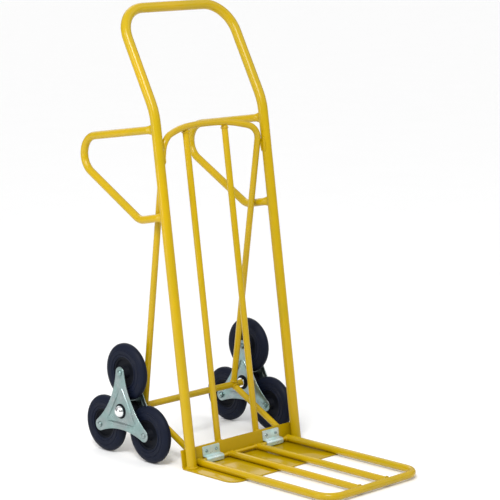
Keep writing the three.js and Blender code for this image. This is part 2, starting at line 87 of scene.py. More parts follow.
LOAD_BAR_X = 72.5 * MM
LOAD_BAR_FOOT = 8 * MM
BRACE_FOOT = 26 * MM
BRACE_SHORT = 4 * MM  # how far the brace ends before the axle's centre, down and forwards
LOOP_TOP_Z = 917 * MM
LOOP_CORNER_Z = LOOP_TOP_Z - 17 * MM
LOOP_TOP_X = 176.4 * MM
LOOP_FOOT_X = 169.5 * MM
LOOP_CORNER_BEND = 42 * MM
LOOP_BOW = 30 * MM
LOOP_SHOULDER_X = 92 * MM
LOOP_SHOULDER_SHARE = 0.86  # of the whole bow
LOOP_SHOULDER_BEND = 260 * MM
LOOP_MIDDLE_BEND = 700 * MM

SIDE_TOP = (118 * MM, 919.5 * MM)
SIDE_CORNER = (540 * MM, 862.5 * MM)
SIDE_KNEE = (192 * MM, 665 * MM)
SIDE_BOTTOM = (86 * MM, 685 * MM)
SIDE_CORNER_BEND = 55 * MM
SIDE_KNEE_BEND = 45 * MM
FLAT_LENGTH = 34 * MM
FLAT_THIN = 0.5  # thickness and height of the flat end, as shares of the diameter
FLAT_TALL = 1.25
FLAT_EASE = ((0.0, 1.0), (0.5, 1.0), (0.65, 0.8), (0.8, 0.25))  # place along the flat, amount

HINGE_Y = JOINTS["toe_fold"]["pos_m"][1]
TOE_Z = JOINTS["toe_fold"]["pos_m"][2]
HOOP_X = 171 * MM
HOOP_FRONT = -494 * MM
HOOP_CORNER = 48 * MM
HOOP_SIDES = 36
TOE_BAR_X = 52 * MM
ROD_RADIUS = 5 * MM
ROD_SIDES = 20

LEAF_SHEET = 2.5 * MM
LEAF_WIDTH = 62 * MM
LEAF_X = 114 * MM
LEAF_ALONG = 50 * MM
LEAF_CLEARANCE = 0.8 * MM  # between the leaf and the rod
LEAF_FOLD = 1.6 * MM
LEAF_FRONT_FOLD = 6 * MM
LEAF_CORNER = 3 * MM
RIVET_ALONG = 37 * MM
RIVET_OFFSET = 18 * MM

AXLE_Y = JOINTS["star_turn_right"]["pos_m"][1]
AXLE_Z = JOINTS["star_turn_right"]["pos_m"][2]
STAR_X = JOINTS["star_turn_right"]["pos_m"][0]
STAR_RADIUS = 108 * MM
STAR_TIP = 17.5 * MM
STAR_WAIST = 53 * MM
STAR_SHEET = 3 * MM
PLATE_GAP = 47 * MM
OUTER_FACE = PLATE_GAP / 2 + STAR_SHEET
RIB_INSIDE = 37 * MM  # from the axle to a rib's middle
RIB_SIZE = (4.2 * MM, 5.2 * MM, 57 * MM)  # half its height, width and length
BOLT_FACE = OUTER_FACE + 0.3 * MM
AXLE_DIAMETER = 14 * MM
CAP_FOOT = OUTER_FACE + 2.3 * MM
CROSS_TUBE_END = 196 * MM
COLLAR_CLEARANCE = 0.3 * MM
BEAD_FROM_AXLE = 10.5 * MM


def point(x, y, z):
    return Vector((x, y, z))


def leaning(x, along, back):
    """A point that far up the uprights' lean and that far behind their plane."""
    return point(
        x,
        along * math.sin(UPRIGHT_LEAN) + back * math.cos(UPRIGHT_LEAN),
        along * math.cos(UPRIGHT_LEAN) - back * math.sin(UPRIGHT_LEAN),
    )


# ---------- user settings ----------
def record_colour(slot):
    for material in frame["record"]["materials"]:
        if material["slot"] == slot:
            return tuple(material["base_color"][:3])
    raise ValueError("no material slot " + slot)


def millimetres(name, description, default):
    return FloatProperty(name=name, description=description, default=default * MM, min=0.0,
                         precision=4, unit="LENGTH", subtype="DISTANCE")


def colour(name, description, default):
    return FloatVectorProperty(name=name, description=description, default=default, size=3,
                               min=0.0, max=1.0, subtype="COLOR")


class TruckSizes(bpy.types.PropertyGroup):
    upright: millimetres("Upright tube", "Diameter of the uprights and top handle", 28)
    bar: millimetres("Bar", "Diameter of the load bars, rear loop and braces", 18)
    cross_tube: millimetres("Cross tube", "Diameter of the tube round the axle", 19)
    side_handle: millimetres("Side handle tube", "Diameter of the side handles", 22)
    toe_tube: millimetres("Toe frame tube", "Diameter of the toe frame's outer tube", 20)
    toe_bar: millimetres("Toe bar", "Diameter of the toe frame's inner bars", 18)
    weld: millimetres("Weld bead", "Thickness of the weld beads", 3.0)
    tube_sides: IntProperty(name="Tube sides", description="Facets round each tube", default=32, min=12)


class TruckColours(bpy.types.PropertyGroup):
    paint: colour("Paint", "Powder coat on the frame", (0.49, 0.316, 0.0006))
    zinc: colour("Zinc", "Plated plates, brackets and bolts", (0.27, 0.385, 0.375))
    chrome: colour("Chrome", "Axle caps and collars", record_colour("chrome"))
    rubber: colour("Rubber", "Tyres", (0.003, 0.0055, 0.016))
    plastic: colour("Plastic", "Rims and hub rings", (0.005, 0.006, 0.009))
    floor: colour("Floor", "Plain floor under the truck", (0.93, 0.93, 0.93))


# ---------- shaders ----------
class Value:
    """A shader value, with arithmetic that adds Math nodes."""

    def __init__(self, shader, socket):
        self.shader = shader
        self.socket = socket

    def maths(self, operation, first, second):
        return self.shader.node("ShaderNodeMath", {"operation": operation}, {0: first, 1: second})

    def __add__(self, other):
        return self.maths("ADD", self, other)

    def __mul__(self, other):
        return self.maths("MULTIPLY", self, other)

    __radd__ = __add__
    __rmul__ = __mul__


class Finish:
    """A material under construction, with one Principled surface."""

    def __init__(self, name):
        self.material = bpy.data.materials.new(name)
        self.material.use_nodes = True
        self.tree = self.material.node_tree
        self.tree.nodes.clear()
        self.surface = self.tree.nodes.new("ShaderNodeBsdfPrincipled")
        output = self.tree.nodes.new("ShaderNodeOutputMaterial")
        self.tree.links.new(self.surface.outputs[0], output.inputs["Surface"])
        self.place = self.node("ShaderNodeTexCoord", output="Object")

    def node(self, kind, settings=None, inputs=None, output=0):
        made = self.tree.nodes.new(kind)
        for key, value in (settings or {}).items():
            setattr(made, key, value)
        for key, value in (inputs or {}).items():
            self.feed(made.inputs[key], value)
        return Value(self, made.outputs[output])

    def feed(self, socket, value):
        if isinstance(value, Value):
            self.tree.links.new(value.socket, socket)
        else:
            socket.default_value = value

    def set(self, **inputs):
        for key, value in inputs.items():
            self.feed(self.surface.inputs[key.replace("_", " ")], value)

    def noise(self, scale, detail=2.0, roughness=0.5):
        return self.node("ShaderNodeTexNoise", None, {
            "Vector": self.place, "Scale": scale, "Detail": detail, "Roughness": roughness})

    def between(self, value, low, high):
        """0 where the value is under low, 1 where it is over high."""
        return self.node("ShaderNodeMapRange", {"clamp": True}, {
            "Value": value, "From Min": low, "From Max": high})

    def mix(self, factor, first, second):
        return self.node("ShaderNodeMix", {"data_type": "RGBA"}, {
            0: factor, 6: rgba(first), 7: rgba(second)}, output=2)

    def bump(self, height, strength, distance):
        return self.node("ShaderNodeBump", None, {
            "Height": height, "Strength": strength, "Distance": distance})


def rgba(value):
    return value if isinstance(value, Value) else (*value, 1.0)


def shade(base, factor):
    return tuple(channel * factor for channel in base)


def powder_coat(name, base, peel=0.16, rough=0.2):
    """Glossy paint with a broad drift of tone, orange peel and a few dull specks."""
    finish = Finish(name)
    drift = finish.noise(scale=7.0, detail=3.0)
    grain = finish.noise(scale=260.0)
    speck = finish.between(finish.noise(scale=620.0, detail=1.0), low=0.70, high=0.78)
    greener = (base[0] * 0.88, base[1] * 0.94, base[2] * 0.5)
    tone = finish.mix(finish.between(drift, low=0.35, high=0.7), base, greener)
    tone = finish.mix(speck * 0.35, tone, shade(base, 0.45))
    normal = finish.bump(grain, strength=peel, distance=0.5 * MM)
    finish.surface.inputs["Specular IOR Level"].default_value = 0.26
    finish.surface.inputs["Coat Weight"].default_value = 0.12
    finish.surface.inputs["Coat Roughness"].default_value = 0.1
    finish.set(Base_Color=tone, Roughness=rough + 0.1 * drift + 0.25 * speck, Normal=normal)
    return finish.material


def zinc_plating(name, base, metallic=0.92):
    """Bright zinc with fine rolling marks, and a passivated film that drifts from green to grey."""
    finish = Finish(name)
    film = finish.noise(scale=24.0)
    cloud = finish.noise(scale=60.0, detail=4.0, roughness=0.6)
    grain = finish.noise(scale=900.0)
    greyer = (base[0] * 1.16, base[1] * 0.95, base[2] * 0.98)
    tone = finish.mix(finish.between(film, low=0.4, high=0.62), base, greyer)
    tone = finish.mix(finish.between(cloud, low=0.35, high=0.75) * 0.6, tone, shade(base, 0.72))
    finish.set(Base_Color=tone, Metallic=metallic, Roughness=0.18 + 0.24 * cloud,
               Normal=finish.bump(grain + cloud, strength=0.1, distance=0.4 * MM))
    return finish.material


def chromed(name, base):
    """Bright chrome, a little smeared."""
    finish = Finish(name)
    smear = finish.noise(scale=120.0, detail=3.0)
    tone = finish.mix(smear * 0.4, base, shade(base, 0.8))
    finish.set(Base_Color=tone, Metallic=1.0, Roughness=0.06 + 0.09 * smear,
               Normal=finish.bump(smear, strength=0.03, distance=0.3 * MM))
    return finish.material


def tyre_rubber(name, base):
    """Blue-black rubber, dusty in patches, with a fine moulded grain."""
    finish = Finish(name)
    dust = finish.between(finish.noise(scale=55.0, detail=5.0, roughness=0.62), low=0.42, high=0.8)
    grain = finish.noise(scale=1400.0)
    tone = finish.mix(dust * 0.5, base, shade(base, 1.7))
    finish.surface.inputs["Specular IOR Level"].default_value = 0.15
    finish.set(Base_Color=tone, Roughness=0.5 + 0.22 * dust,
               Normal=finish.bump(grain, strength=0.2, distance=0.25 * MM))
    return finish.material


def moulded_plastic(name, base):
    """Dull black plastic, mottled."""
    finish = Finish(name)
    mottle = finish.noise(scale=80.0, detail=3.0)
    grain = finish.noise(scale=1100.0, detail=1.0)
    tone = finish.mix(mottle, base, shade(base, 1.6))
    finish.surface.inputs["Specular IOR Level"].default_value = 0.07
    finish.set(Base_Color=tone, Roughness=0.45 + 0.16 * mottle,
               Normal=finish.bump(grain, strength=0.15, distance=0.2 * MM))
    return finish.material


def plain_floor(name, base):
    finish = Finish(name)
    tone = finish.mix(finish.noise(scale=3.0), base, shade(base, 0.985))
    finish.set(Base_Color=tone, Roughness=0.9)
    return finish.material


SHEET_PAINTED_SHADE = 0.86  # the folded sheet's paint beside the tubes', darker as painted shade
BRACKET_PAINTED_LIGHT = 2.0  # the brackets' zinc beside the star plates', brightened as a painted reflection
FINISHES = {}


def finish_for(slot):
    """The material of a slot or of one of its variants, made once."""
    if slot not in FINISHES:
        colours = bpy.context.scene.truck_colours
        makers = {
            "frame_paint": lambda: powder_coat("powder_coat", tuple(colours.paint)),
            # the sheet's paint is the frame paint darkened as painted shade
            "frame_sheet": lambda: powder_coat("coated_sheet", shade(colours.paint, SHEET_PAINTED_SHADE), 0.08, 0.12),
            "frame_weld": lambda: powder_coat("coated_weld", tuple(colours.paint), 0.5, 0.26),
            "zinc_plate": lambda: zinc_plating("zinc_plating", tuple(colours.zinc)),
            # the brackets' zinc is the plates' zinc brightened and made less metallic as a painted reflection
            "zinc_bracket": lambda: zinc_plating("bright_zinc", shade(colours.zinc, BRACKET_PAINTED_LIGHT), 0.5),
            "chrome": lambda: chromed("chromed_steel", tuple(colours.chrome)),
            "rubber": lambda: tyre_rubber("tyre_rubber", tuple(colours.rubber)),
            "black_plastic": lambda: moulded_plastic("moulded_plastic", tuple(colours.plastic)),
        }
        FINISHES[slot] = makers[slot]()
    return FINISHES[slot]


# ---------- modelling ----------
MEETING = 0.01 * MM  # vertices closer than this are one


def only(piece):
    bpy.ops.object.select_all(action="DESELECT")
    piece.select_set(True)
    bpy.context.view_layer.objects.active = piece


def fresh(add_primitive, name, **settings):
    """A new primitive, with nothing else selected."""
    bpy.ops.object.select_all(action="DESELECT")
    add_primitive(**settings)
    piece = bpy.context.object
    piece.name = name
    piece.data.name = name
    return piece


class Shaping:
    """Edit mode on one piece."""

    def __init__(self, piece):
        self.piece = piece

    def __enter__(self):
        only(self.piece)
        bpy.ops.object.mode_set(mode="EDIT")
        return self

    def __exit__(self, *_):
        bpy.ops.object.mode_set(mode="OBJECT")

    def pick(self, kind, test):
        """Select the vertices, edges or faces that pass the test, and nothing else."""
        bpy.ops.mesh.select_mode(type=kind)
        bpy.ops.mesh.select_all(action="DESELECT")
        mesh = bmesh.from_edit_mesh(self.piece.data)
        kinds = {"VERT": mesh.verts, "EDGE": mesh.edges, "FACE": mesh.faces}
        for item in kinds[kind]:
            if test(item):
                item.select_set(True)
        mesh.select_flush_mode()
        bmesh.update_edit_mesh(self.piece.data)

    def pull(self, shift):
        bpy.ops.mesh.extrude_region_move(TRANSFORM_OT_translate={"value": shift})

    def turn(self, angle, centre, axis, steps):
        """Spin the selection by the right-hand rule."""
        bpy.ops.mesh.spin(steps=steps, angle=-angle, center=centre, axis=axis)

    def follow(self, path, step=math.radians(7)):
        """Carry the selection along a path of (place, bend radius); no bend is a plain station."""
        at = path[0][0]
        heading = (path[1][0] - at).normalized()
        for (corner, bend), (after, _) in zip(path[1:-1], path[2:]):
            if not bend:
                self.pull(corner - at)
                at = corner
                continue
            leaving = (after - corner).normalized()
            turn = heading.angle(leaving)
            setback = bend * math.tan(turn / 2)
            start = corner - heading * setback
            self.pull(start - at)
            axis = heading.cross(leaving).normalized()
            centre = start + axis.cross(heading) * bend
            self.turn(turn, centre, axis, max(3, math.ceil(turn / step)))
            at = corner + leaving * setback
            heading = leaving
        self.pull(path[-1][0] - at)

    def close(self):
        """Merge what meets, fill what is open and point the faces out."""
        bpy.ops.mesh.select_mode(type="VERT")
        bpy.ops.mesh.select_all(action="SELECT")
        bpy.ops.mesh.remove_doubles(threshold=MEETING)
        bpy.ops.mesh.fill_holes(sides=0)
        bpy.ops.mesh.select_all(action="SELECT")
        bpy.ops.mesh.normals_make_consistent(inside=False)


def modify(piece, kind, **settings):
    """Add a modifier and apply it."""
    only(piece)
    modifier = piece.modifiers.new(kind.title(), kind)
    for key, value in settings.items():
        setattr(modifier, key, value)
    bpy.ops.object.modifier_apply(modifier=modifier.name)


def soften(piece, width, segments=3, angle=math.radians(35)):
    modify(piece, "BEVEL", width=width, segments=segments, limit_method="ANGLE", angle_limit=angle)


def cut_off(piece, place, normal):
    """Cut a piece along a plane and keep the side that the normal points to."""
    with Shaping(piece) as shaping:
        bpy.ops.mesh.select_all(action="SELECT")
        bpy.ops.mesh.bisect(plane_co=place, plane_no=normal, use_fill=True, clear_inner=True)
        shaping.close()


def settle(piece):
    """Leave the piece at the origin, unturned and unscaled."""
    only(piece)
    bpy.ops.object.transform_apply(location=True, rotation=True, scale=True)


def hand_over(piece, body, slot, nodes=(), finish=None, smooth=math.radians(40)):
    """Finish a piece: its place, shading, material, body and the frame nodes it stands for."""
    settle(piece)
    bpy.ops.object.shade_smooth_by_angle(angle=smooth)
    piece.data.materials.clear()
    piece.data.materials.append(finish_for(finish or slot))
    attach(piece, body)
    if nodes:
        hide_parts(*nodes)
    return piece


def copy_of(piece, name):
    only(piece)
    bpy.ops.object.duplicate(linked=False)
    made = bpy.context.object
    made.name = name
    made.data.name = name
    return made


def remove(*blanks):
    for blank in blanks:
        bpy.data.objects.remove(blank, do_unlink=True)


def join(pieces, name):
    bpy.ops.object.select_all(action="DESELECT")
    for piece in pieces:
        piece.select_set(True)
    bpy.context.view_layer.objects.active = pieces[0]
    bpy.ops.object.join()
    pieces[0].name = name
    pieces[0].data.name = name
    return pieces[0]


def pipe(name, path, diameter, sides=None):
    """A round tube with closed ends along a path of (place, bend radius)."""
    start = path[0][0]
    heading = path[1][0] - start
    piece = fresh(bpy.ops.mesh.primitive_circle_add, name, radius=diameter / 2, location=start,
                  vertices=sides or bpy.context.scene.truck_sizes.tube_sides,
                  rotation=heading.to_track_quat("Z", "X").to_euler())
    with Shaping(piece) as shaping:
        shaping.follow(path)
        shaping.close()
    return piece


def straight(start, end):
    return [(start, 0), (end, 0)]


def single_vertex(name, place):
    piece = fresh(bpy.ops.mesh.primitive_plane_add, name, size=MM, location=place)
    with Shaping(piece):
        bpy.ops.mesh.merge(type="CENTER")
    return piece


def turned(name, profile, steps=64):
    """A lathe-turned piece about the X axis from (x, radius) points; off-axis ends join up."""
    outline = [point(x, 0, r) for x, r in profile]
    piece = single_vertex(name, outline[0])
    with Shaping(piece) as shaping:
        bpy.ops.mesh.select_all(action="SELECT")
        for near, far in zip(outline, outline[1:]):
            shaping.pull(far - near)
        bpy.ops.mesh.select_all(action="SELECT")
        shaping.turn(math.tau, point(0, 0, 0), point(1, 0, 0), steps)
        shaping.close()
    settle(piece)
    return piece


def folded_sheet(name, path, width, x=0.0):
    """A strip of sheet, without thickness yet, along a path in Y and Z."""
    start = path[0][0] + point(x, 0, 0)
    piece = fresh(bpy.ops.mesh.primitive_plane_add, name, size=width, location=start)
    with Shaping(piece) as shaping:
        bpy.ops.transform.resize(value=(1, 0, 1), center_override=start)
        bpy.ops.mesh.remove_doubles(threshold=1e-6)
        bpy.ops.mesh.select_mode(type="EDGE")
        bpy.ops.mesh.select_all(action="SELECT")
        shaping.follow([(place + point(x, 0, 0), bend) for place, bend in path])
    return piece


def thicken(piece, thickness, face_index, towards):
    """Give a sheet its thickness on one side, told by the way that one face should point."""
    if piece.data.polygons[face_index].normal.dot(towards) < 0:
        with Shaping(piece):
            bpy.ops.mesh.select_all(action="SELECT")
            bpy.ops.mesh.flip_normals()
    modify(piece, "SOLIDIFY", thickness=thickness, offset=1.0, use_even_offset=True)


# ---------- weld beads ----------
FOOT_BEAD = 3.6 * MM  # thickness round an upright's foot
BAR_BEAD = 2.4 * MM  # round a bar, and beside a side handle's flat end
THIN_BEAD = 2.2 * MM  # round the rod, and on top of the flange
SEAM_BEAD = 2.6 * MM  # where the loop leans on an upright, and where the rod meets the hoop
RUNG_BEAD = 2.3 * MM  # round a toe bar's front end
FLANGE_SEAM = (12 * MM, 50 * MM)  # from where to where a load bar is welded to the flange
SHOULDER_SEAM = (LOOP_TOP_Z - 82 * MM, LOOP_TOP_Z - 48 * MM)  # the same for the loop on the uprights
SHOULDER_SEAM_BACKS = (-6.5 * MM, 7 * MM)
FLAT_SEAM = 13.5 * MM  # from a side handle's end


def ring_bead(place, axis, radius, seed, thick=None, stretch=1.0):
    """A lumpy bead round a bar where it meets another piece; stretch lengthens it along Y."""
    bead = thick or bpy.context.scene.truck_sizes.weld
    piece = fresh(bpy.ops.mesh.primitive_torus_add, "bead", major_radius=radius + bead * 0.15,
                  minor_radius=bead, major_segments=40, minor_segments=8, location=place,
                  rotation=axis.to_track_quat("Z", "Y").to_euler())
    with Shaping(piece) as shaping:
        shaping.pick("VERT", lambda vertex: True)
        bpy.ops.transform.resize(value=(1, stretch, 1), center_override=place)
        bpy.ops.transform.vertex_random(offset=bead * 0.5, uniform=0.0, normal=1.0, seed=seed)
    modify(piece, "SUBSURF", levels=1, render_levels=1)
    return piece


def long_bead(start, end, seed, thick=None):
    """A lumpy fillet along a seam."""
    bead = thick or bpy.context.scene.truck_sizes.weld
    run = end - start
    piece = fresh(bpy.ops.mesh.primitive_uv_sphere_add, "bead", segments=14,
                  ring_count=max(10, int(run.length / (2.5 * MM))), radius=1.0,
                  location=(start + end) / 2, rotation=run.to_track_quat("Z", "X").to_euler(),
                  scale=(bead, bead, run.length / 2 + bead))
    with Shaping(piece) as shaping:
        shaping.pick("VERT", lambda vertex: True)
        bpy.ops.transform.vertex_random(offset=bead * 0.45, uniform=0.0, normal=1.0, seed=seed)
    modify(piece, "SUBSURF", levels=1, render_levels=1)
    return piece


# ---------- paths ----------
def upright_path():
    rise = point(0, math.sin(HANDLE_LEAN), math.cos(HANDLE_LEAN))
    top = leaning(0, BEND_ALONG, 0) + HANDLE_LENGTH * rise

    def side(sign):
        return [
            (leaning(sign * UPRIGHT_X, SHEET - WELD_SINK, 0), 0),
            (leaning(sign * UPRIGHT_X, BEND_ALONG, 0), HANDLE_BEND),
            (top + point(sign * UPRIGHT_X, 0, 0), HANDLE_CORNER),
        ]

    return side(-1) + side(1)[::-1]


def loop_path():
    corner = leaning(0, LOOP_CORNER_Z, 0)
    shoulder_y = corner.y + LOOP_BOW * LOOP_SHOULDER_SHARE

    def side(sign):
        return [
            (point(sign * LOOP_FOOT_X, AXLE_Y, AXLE_Z), 0),
            (corner + point(sign * LOOP_TOP_X, 0, 0), LOOP_CORNER_BEND),
            (point(sign * LOOP_SHOULDER_X, shoulder_y, LOOP_TOP_Z - 2 * MM), LOOP_SHOULDER_BEND),
        ]

    middle = (point(0, corner.y + LOOP_BOW, LOOP_TOP_Z + MM), LOOP_MIDDLE_BEND)
    return side(-1) + [middle] + side(1)[::-1]


def hoop_path():
    def side(sign):
        return [
            (point(sign * HOOP_X, HINGE_Y + 2 * MM, TOE_Z), 0),
            (point(sign * HOOP_X, HOOP_FRONT, TOE_Z), HOOP_CORNER),
        ]

    return side(-1) + side(1)[::-1]


# ---------- operators ----------
class PieceOperator(bpy.types.Operator):
    bl_options = {"REGISTER", "UNDO"}


class TRUCK_OT_frame_tubes(PieceOperator):
    """Bend the uprights with the top handle, the rear loop, the cross tube, the load bars and the braces"""
    bl_idname = "truck.frame_tubes"
    bl_label = "Frame tubes"

    def execute(self, context):
        sizes = context.scene.truck_sizes
        uprights = pipe("uprights_and_handle", upright_path(), sizes.upright, UPRIGHT_SIDES)
        hand_over(uprights, "frame", "frame_paint", ["main_frame_tube"])
        loop = pipe("rear_loop", loop_path(), sizes.bar)
        hand_over(loop, "frame", "frame_paint", ["rear_loop_tube"])
        ends = [point(sign * CROSS_TUBE_END, AXLE_Y, AXLE_Z) for _, sign in SIDES]
        cross = pipe("cross_tube", straight(*ends), sizes.cross_tube)
        soften(cross, 0.8 * MM)
        hand_over(cross, "frame", "frame_paint", ["axle_tube"])
        for label, sign in SIDES:
            x = sign * LOAD_BAR_X
            path = straight(leaning(x, LOAD_BAR_FOOT, BAR_BACK), leaning(x, LOOP_TOP_Z + 2 * MM, BAR_BACK))
            bar = pipe("bearer_bar_" + label, path, sizes.bar)
            soften(bar, 1.2 * MM)
            hand_over(bar, "frame", "frame_paint", ["load_bar_" + label])
            foot = leaning(sign * LOOP_FOOT_X, BRACE_FOOT, FLANGE_FRONT)
            end = point(foot.x, AXLE_Y - BRACE_SHORT, AXLE_Z - BRACE_SHORT)
            strut = pipe("strut_" + label, straight(foot - (end - foot) * 0.1, end), sizes.bar)
            cut_off(strut, leaning(0, 0, FLANGE_BACK - 0.5 * MM), leaning(0, 0, 1))
            hand_over(strut, "frame", "frame_paint", ["brace_" + label])
        return {"FINISHED"}


class TRUCK_OT_side_handles(PieceOperator):
    """Bend both side handles and flatten their ends"""
    bl_idname = "truck.side_handles"
    bl_label = "Side handles"

    def execute(self, context):
        diameter = context.scene.truck_sizes.side_handle
        for label, sign in SIDES:
            x = sign * UPRIGHT_X
            corners = [point(x, *place) for place in (SIDE_TOP, SIDE_CORNER, SIDE_KNEE, SIDE_BOTTOM)]
            upper = (corners[1] - corners[0]).normalized()
            lower = (corners[2] - corners[3]).normalized()
            rests = [FLAT_LENGTH * share for share, _ in FLAT_EASE[1:]] + [FLAT_LENGTH]
            path = [(corners[0], 0)]
            path += [(corners[0] + upper * rest, 0) for rest in rests]
            path += [(corners[1], SIDE_CORNER_BEND), (corners[2], SIDE_KNEE_BEND)]
            path += [(corners[3] + lower * rest, 0) for rest in reversed(rests)]
            path += [(corners[3], 0)]
            handle = pipe("grab_handle_" + label, path, diameter)
            settle(handle)
            for end, along in ((corners[0], upper), (corners[3], lower)):
                flatten(handle, end, along)
            hand_over(handle, "frame", "frame_paint", ["side_handle_" + label])
        return {"FINISHED"}


def flatten(piece, end, along):
    """Press a tube's end thin across X and taller in its own plane, easing out over its length."""
    for share, amount in FLAT_EASE:
        middle = end + along * FLAT_LENGTH * share
        with Shaping(piece) as shaping:
            shaping.pick("VERT", lambda vertex: abs((vertex.co - middle).dot(along)) < MM
                         and (vertex.co - middle).length < 16 * MM)
            bpy.ops.transform.resize(
                value=(1 - (1 - FLAT_THIN) * amount, 1, 1 + (FLAT_TALL - 1) * amount),
                center_override=middle)


class TRUCK_OT_base_plate(PieceOperator):
    """Fold the base plate from sheet: a toe plate with round front corners and an upright flange"""
    bl_idname = "truck.base_plate"
    bl_label = "Base plate"

    def execute(self, context):
        path = [
            (point(0, PLATE_FRONT, 0), 0),
            (point(0, FLANGE_BACK, 0), FOLD),
            (leaning(0, FLANGE_ALONG, FLANGE_BACK), 0),
        ]
        plate = folded_sheet("toe_plate_and_flange", path, PLATE_WIDTH)
        settle(plate)
        with Shaping(plate) as shaping:
            shaping.pick("VERT", lambda vertex: vertex.co.y < PLATE_FRONT + MM)
            bpy.ops.mesh.bevel(offset=PLATE_CORNER, segments=10, affect="VERTICES")
        floor_face = min(plate.data.polygons, key=lambda face: face.center.z)
        thicken(plate, SHEET, floor_face.index, point(0, 0, 1))
        soften(plate, 0.9 * MM, 2)
        # the sheet's finish is the frame paint darkened as painted shade
        hand_over(plate, "frame", "frame_paint", ["base_plate"], "frame_sheet", smooth=math.radians(30))
        return {"FINISHED"}


class TRUCK_OT_hinge_leaves(PieceOperator):
    """Fold the two hinge brackets and set their rivets"""
    bl_idname = "truck.hinge_leaves"
    bl_label = "Hinge brackets"

    def execute(self, context):
        rod_top = TOE_Z + ROD_RADIUS + LEAF_CLEARANCE
        rod_front = HINGE_Y - ROD_RADIUS - LEAF_CLEARANCE
        face = FLANGE_FRONT - 0.3 * MM
        path = [
            (leaning(0, LEAF_ALONG, face), 0),
            (leaning(0, rod_top + 3 * MM, face), LEAF_FOLD),
            (point(0, HINGE_Y + 2 * MM, rod_top), LEAF_FOLD),
            (point(0, rod_front, rod_top), LEAF_FRONT_FOLD),
            (point(0, rod_front, SHEET + 3 * MM), 0),
        ]
        rivet_blank = hollow_rivet("rivet_blank")
        rivet_blank.rotation_euler = (0, 0, math.pi / 2)
        settle(rivet_blank)
        for label, sign in SIDES:
            leaf = folded_sheet("hinge_leaf_" + label, path, LEAF_WIDTH, x=sign * LEAF_X)
            settle(leaf)
            with Shaping(leaf) as shaping:
                low = SHEET + 4 * MM
                high = leaning(0, LEAF_ALONG, face).z - MM
                shaping.pick("VERT", lambda vertex: vertex.co.z < low or vertex.co.z > high)
                bpy.ops.mesh.bevel(offset=LEAF_CORNER, segments=4, affect="VERTICES")
            highest = max(leaf.data.polygons, key=lambda polygon: polygon.center.z)
            thicken(leaf, LEAF_SHEET, highest.index, point(0, -1, 0))
            soften(leaf, 0.5 * MM, 2)
            # the bracket's zinc is brightened as a painted reflection
            hand_over(leaf, "frame", "zinc_plate", ["hinge_bracket_" + label], finish="zinc_bracket")
            for number, offset in ((1, -RIVET_OFFSET), (2, RIVET_OFFSET)):
                rivet = copy_of(rivet_blank, "leaf_rivet_%s_%d" % (label, number))
                rivet.rotation_euler = (-UPRIGHT_LEAN, 0, 0)
                rivet.location = leaning(sign * LEAF_X + offset, RIVET_ALONG, FLANGE_FRONT)
                hand_over(rivet, "frame", "zinc_plate", ["bracket_rivet_%s_%d" % (label, number)])
        remove(rivet_blank)
        return {"FINISHED"}


def hollow_rivet(name):
    """A blind rivet along X: a domed head in front with its broken stem's hollow, a rolled tail behind."""
    front = -3.1 * MM
    back = SHEET + 0.3 * MM
    profile = [
        (front + 2.4 * MM, 0), (front + 2.4 * MM, 1.9 * MM), (front - 2.1 * MM, 2.1 * MM),
        (front - 2.3 * MM, 2.5 * MM), (front - 1.9 * MM, 3.4 * MM), (front - 0.9 * MM, 4.3 * MM),
        (front, 4.5 * MM), (front, 2.5 * MM), (back, 2.5 * MM), (back, 3.6 * MM),
        (back + 1.2 * MM, 3.4 * MM), (back + 1.8 * MM, 2 * MM), (back + 1.8 * MM, 0),
    ]
    return turned(name, profile, 28)


